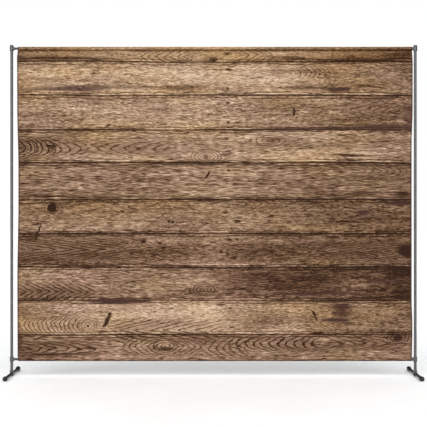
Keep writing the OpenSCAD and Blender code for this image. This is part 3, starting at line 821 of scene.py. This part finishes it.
def cloth_mesh():
    """The cloth as a closed sheet of two layers, printed on its outer face, and its length."""
    line, along, length = cloth_line()
    x = np.tile(cloth_columns(), (len(line), 1))
    outer, inner, rim = layer_faces(*x.shape)
    faces = np.concatenate([outer, inner, rim])
    mesh = bpy.data.meshes.new("cloth")
    mesh.from_pydata(layer_points(line, x).tolist(), [], faces.tolist())
    mesh.materials.append(CLOTH_FRONT)
    mesh.materials.append(CLOTH_BACK)
    slots = [0] * len(outer) + [1] * len(inner) + [0] * len(rim)
    mesh.polygons.foreach_set("material_index", slots)
    smooth_faces = [True] * (len(outer) + len(inner)) + [False] * len(rim)
    mesh.polygons.foreach_set("use_smooth", smooth_faces)
    add_print_map(mesh, x, along)
    mesh.validate()
    return mesh, length


def add(name, mesh):
    """Put a mesh in the scene as a piece of this name."""
    piece = bpy.data.objects.new(name, mesh)
    SCENE.collection.objects.link(piece)
    return piece


CLOTH_MESH, CLOTH_LENGTH = cloth_mesh()
cloth = add("cloth", CLOTH_MESH)


# ---- Stitching ----

# How far apart the stitches are, and how far their rows lie from a seam and a side edge.
STITCH_PITCH = 0.0065
FROM_SEAM = 0.004
FROM_EDGE = 0.009

# How far short of the side edges and of the seams the rows of stitches end.
SEAM_ROW_END = 0.006
EDGE_ROW_END = 0.014


def stitch_points():
    """The middle, the way along and the way out of every stitch."""
    stitches = []
    for height in (TOP_SEAM - FROM_SEAM, BOTTOM_SEAM + FROM_SEAM):
        x = np.arange(LOW_X + SEAM_ROW_END, HIGH_X - SEAM_ROW_END, STITCH_PITCH)
        sx, sy = settle(x, np.full_like(x, height))
        for px, py in zip(sx, sy):
            stitches.append(((px, py - THICK / 2, height), (1, 0, 0), (0, -1, 0)))
            stitches.append(((px, py + FLAP + THICK / 2, height), (1, 0, 0), (0, 1, 0)))
    for edge in (LOW_X + FROM_EDGE, HIGH_X - FROM_EDGE):
        z = np.arange(BOTTOM_SEAM + EDGE_ROW_END, TOP_SEAM - EDGE_ROW_END, STITCH_PITCH)
        sx, sy = settle(np.full_like(z, edge), z)
        for px, py, pz in zip(sx, sy, z):
            stitches.append(((px, py - THICK / 2, pz), (0, 0, 1), (0, -1, 0)))
            stitches.append(((px, py + THICK * 1.5, pz), (0, 0, 1), (0, 1, 0)))
    return stitches


def stitch_mesh():
    """Short threads that rise out of the cloth and go back into it."""
    # Place along the stitch, half width and rise of its two ends and its middle.
    section = [(-0.0025, 0.0001, -0.0002), (0.0, 0.00045, 0.00045), (0.0025, 0.0001, -0.0002)]
    points, faces = [], []
    for middle, way, out in stitch_points():
        middle, way, out = (np.array(v) for v in (middle, way, out))
        across = np.cross(way, out)
        base = len(points)
        for shift, width, rise in section:
            for turn in ((1, 0), (0, 1), (-1, 0), (0, -1)):
                p = middle + way * shift + across * width * turn[0]
                points.append(p + out * (rise * 0.5 + width * 0.8 * turn[1]))
        faces += [[base + k for k in (0, 1, 2, 3)], [base + k for k in (11, 10, 9, 8)]]
        for near in (base, base + 4):
            far = near + 4
            for k in range(4):
                n = (k + 1) % 4
                faces.append([far + k, far + n, near + n, near + k])
    mesh = bpy.data.meshes.new("stitching")
    mesh.from_pydata([tuple(p) for p in points], [], faces)
    mesh.polygons.foreach_set("use_smooth", [True] * len(mesh.polygons))
    return mesh


def thread_material():
    """Twisted sewing thread in two browns."""
    graph, finish = new_material("thread")
    point = graph.object_point()
    fineness = 9000
    twist = (graph.split(point)[0] * fineness + graph.split(point)[2] * fineness).sin()
    shade = graph.noise(point, 40.0, 2.0, 0.5)
    colour = graph.mix(shade.ramp(0.3, 0.7), linear(86, 62, 46), linear(120, 92, 70))
    return finish(
        Base_Color=colour, Roughness=shade.ramp(0.3, 0.7, 0.55, 0.7),
        Normal=graph.bump(twist, 0.4, 0.0001), Sheen_Weight=0.2,
    )


STITCH_MESH = stitch_mesh()
STITCH_MESH.materials.append(thread_material())
stitching = add("stitching", STITCH_MESH)

# Both bars slide in by 0.44 m on each side, which leaves 0.7115 of the 3.05 m wide cloth.
for piece in (cloth, stitching):
    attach(piece, "centre_span")
    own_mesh(piece)
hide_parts("backdrop_cloth", "top_pole_pocket", "bottom_pole_pocket")


# ---- Hairpin springs behind the snap buttons ----

# Thickness of the strip, and length of its front leg.
SPRING_T = 0.0006
SPRING_FRONT = 0.030


def hairpin_mesh(name, low, high):
    """A bent strip of spring steel: down the front leg, round the bend and up the rear leg."""
    radius = (high.y - low.y - SPRING_T) / 2
    bend = low.z + (high.y - low.y) / 2
    path = [(-radius, bend + rise) for rise in np.linspace(SPRING_FRONT, 0, 10)]
    half_turn = np.linspace(0, math.pi, 17)[1:]
    path += [(-radius * math.cos(a), bend - radius * math.sin(a)) for a in half_turn]
    path += [(radius, bend + rise) for rise in np.linspace(0, high.z - bend, 20)[1:]]
    path = np.array(path)
    along = np.gradient(path, axis=0)
    along /= np.hypot(*along.T)[:, None]
    middle, half = (low.x + high.x) / 2, (high.x - low.x) / 2
    # The strip's cross-section gets thinner over the last 0.2 mm at its two edges.
    edge, flat = SPRING_T / 2, half - 0.0002
    section = [(half, 0.3 * edge), (flat, edge), (-flat, edge), (-half, 0.3 * edge)]
    section += [(x, -rise) for x, rise in reversed(section)]
    points = []
    for (y, z), (step_y, step_z) in zip(path, along):
        points += [(middle + x, y - step_z * rise, z + step_y * rise) for x, rise in section]
    count = len(section)
    faces = [tuple(range(count)), tuple(reversed(range(len(points) - count, len(points))))]
    for ring in range(len(path) - 1):
        for k in range(count):
            a, b = ring * count + k, ring * count + (k + 1) % count
            faces.append((a, a + count, b + count, b))
    mesh = bpy.data.meshes.new(name)
    mesh.from_pydata(points, [], faces)
    mesh.materials.append(ZINC)
    return mesh


for side in ("left", "right"):
    for level in ("lower", "upper"):
        spring = f"snap_spring_{level}_{side}"
        low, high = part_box(spring)
        hairpin = add(f"hairpin_{level}_{side}", hairpin_mesh(spring, low, high))
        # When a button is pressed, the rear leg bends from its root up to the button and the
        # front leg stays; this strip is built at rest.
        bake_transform(hairpin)
        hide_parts(spring)


# ---- Floor and light ----

def floor_material():
    """Matt white studio floor with a faint cloudiness."""
    graph, finish = new_material("floor")
    cloud = graph.noise(graph.object_point(), 1.5, 2.0, 0.5)
    colour = graph.mix(cloud.ramp(0.2, 0.8), (0.90, 0.90, 0.90, 1), (0.94, 0.94, 0.94, 1))
    return finish(Base_Color=colour, Roughness=0.7, Specular_IOR_Level=0.2)


floor_mesh = bpy.data.meshes.new("floor")
floor_corners = [(-40, -30, 0), (40, -30, 0), (40, 60, 0), (-40, 60, 0)]
floor_mesh.from_pydata(floor_corners, [], [(0, 1, 2, 3)])
floor_mesh.materials.append(floor_material())
add("floor", floor_mesh)

# Glossy surfaces mirror one soft box to the front left, in an otherwise dark studio. Dull
# ones get an even fill, and the camera sees white behind the object.
BOX_WAY = (-0.45, -0.85, 0.27)
BOX_LIGHT = (1.7, 1.7, 1.7, 1)
DARK_STUDIO = (0.10, 0.10, 0.105, 1)
FILL_LIGHT = (0.755, 0.765, 0.775, 1)
WHITE = (1.0, 1.0, 1.0, 1)

world = bpy.data.worlds.new("studio")
world.use_nodes = True
world.node_tree.nodes.clear()
wg = Graph(world.node_tree)
path = wg.node("ShaderNodeLightPath").outputs
facing = wg.dot(wg.node("ShaderNodeTexCoord").outputs["Generated"], BOX_WAY)
soft_box = wg.mix(facing.ramp(0.62, 0.92), DARK_STUDIO, BOX_LIGHT)
sky = wg.mix(path["Is Glossy Ray"], FILL_LIGHT, soft_box)
sky = wg.mix(path["Is Camera Ray"], sky, WHITE)
background = wg.node("ShaderNodeBackground", {0: sky, 1: 1.0})
world_out = wg.node("ShaderNodeOutputWorld")
wg.put(background.outputs[0], world_out.inputs[0])
SCENE.world = world

# A broad key light comes down from the front, so the shadow on the floor is soft.
key = bpy.data.lights.new("key", "SUN")
key.energy = 2.28
key.angle = math.radians(85)
key_lamp = bpy.data.objects.new("key", key)
key_lamp.rotation_euler = (math.radians(48), 0, math.radians(-2))
SCENE.collection.objects.link(key_lamp)

SCENE.view_settings.view_transform = "Standard"
SCENE.view_settings.look = "None"
